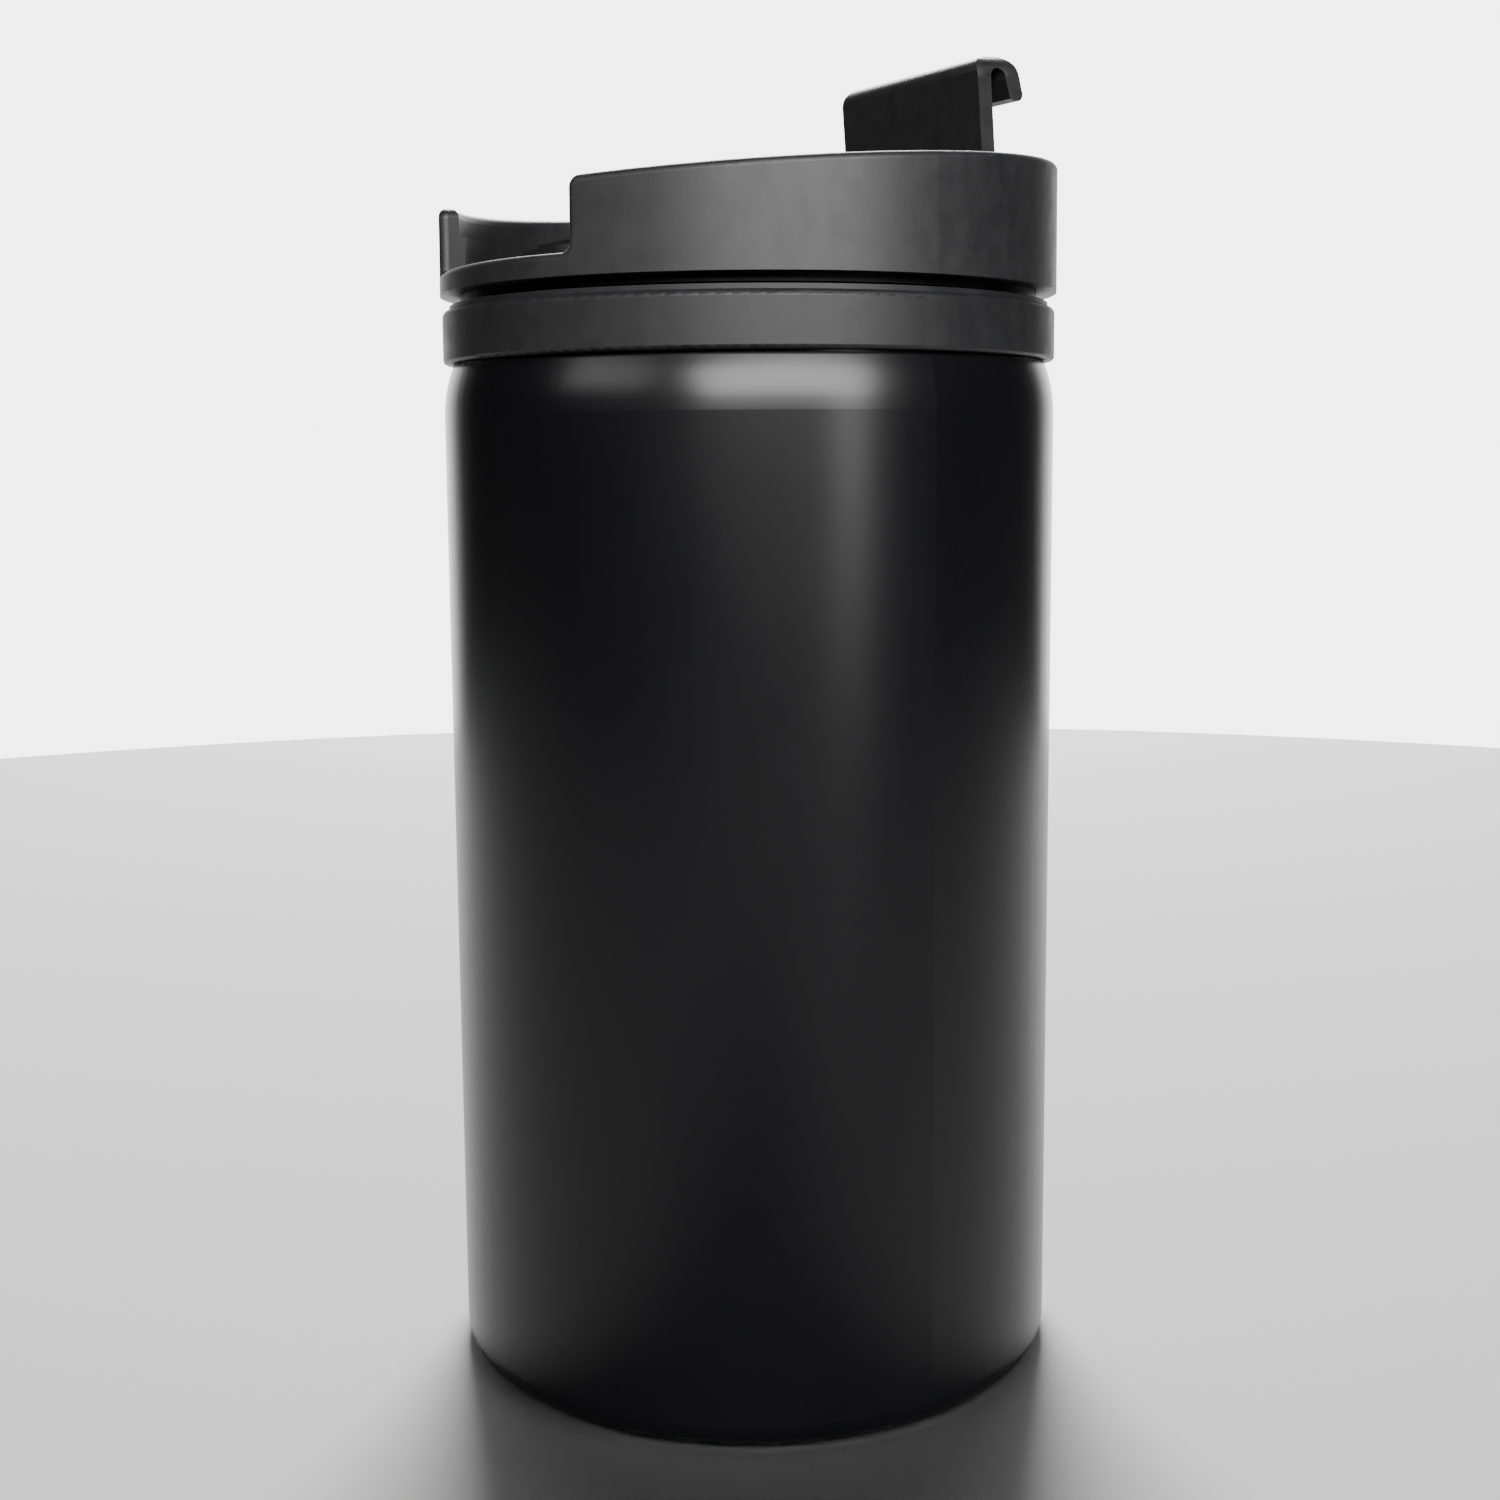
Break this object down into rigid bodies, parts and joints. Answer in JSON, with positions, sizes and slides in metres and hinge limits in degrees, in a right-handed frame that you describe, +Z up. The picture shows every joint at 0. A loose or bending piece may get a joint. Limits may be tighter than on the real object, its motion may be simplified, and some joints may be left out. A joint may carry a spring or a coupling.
{
  "type": "insulated travel mug",
  "caption": "Straight-sided vacuum travel mug with a screw lid, sloping drum top, drinking notch and a flip cover with a thumb hook, shown folded back.",
  "frame": {"origin": "centre of the base, on the floor", "axes": "+Z up; the drinking side faces -Y; the folded-back cover stands on the +Y side"},
  "size_m": [0.0798, 0.0798, 0.1699],
  "materials": {
    "body_paint": "satin",
    "bare_steel": "satin",
    "lid_plastic": "matte",
    "silicone": "matte",
    "solder": "satin",
    "getter_alloy": "matte"
  },
  "bodies": {
    "cup": {"outer_shell": "body_paint", "inner_liner": "bare_steel", "base_plate": "bare_steel", "seal_bead": "solder", "getter": "getter_alloy", "collar": "lid_plastic", "collar_seal": "silicone"},
    "gasket": {"lid_gasket": "silicone"},
    "lid": {"lid_shell": "lid_plastic", "lid_plug": "lid_plastic", "hinge_pin": "bare_steel"},
    "cover": {"flap": "lid_plastic", "flap_stopper": "silicone"}
  },
  "joints": [
    {"name": "lid_rise", "type": "slide", "parent": "cup", "child": "gasket", "axis": [0, 0, 1], "range_m": [0, 0.0061]},
    {"name": "lid_turn", "type": "hinge", "parent": "gasket", "child": "lid", "pos_m": [0, 0, 0.14], "axis": [0, 0, 1], "range_deg": [0, 540]},
    {"name": "cover_hinge", "type": "hinge", "parent": "lid", "child": "cover", "pos_m": [0, -0.00718, 0.15016], "axis": [1, 0, 0], "range_deg": [0, 180]}
  ],
  "couplings": [
    {"joint": "lid_rise", "follows": "lid_turn", "m_per_rad": 0.00063662}
  ]
}
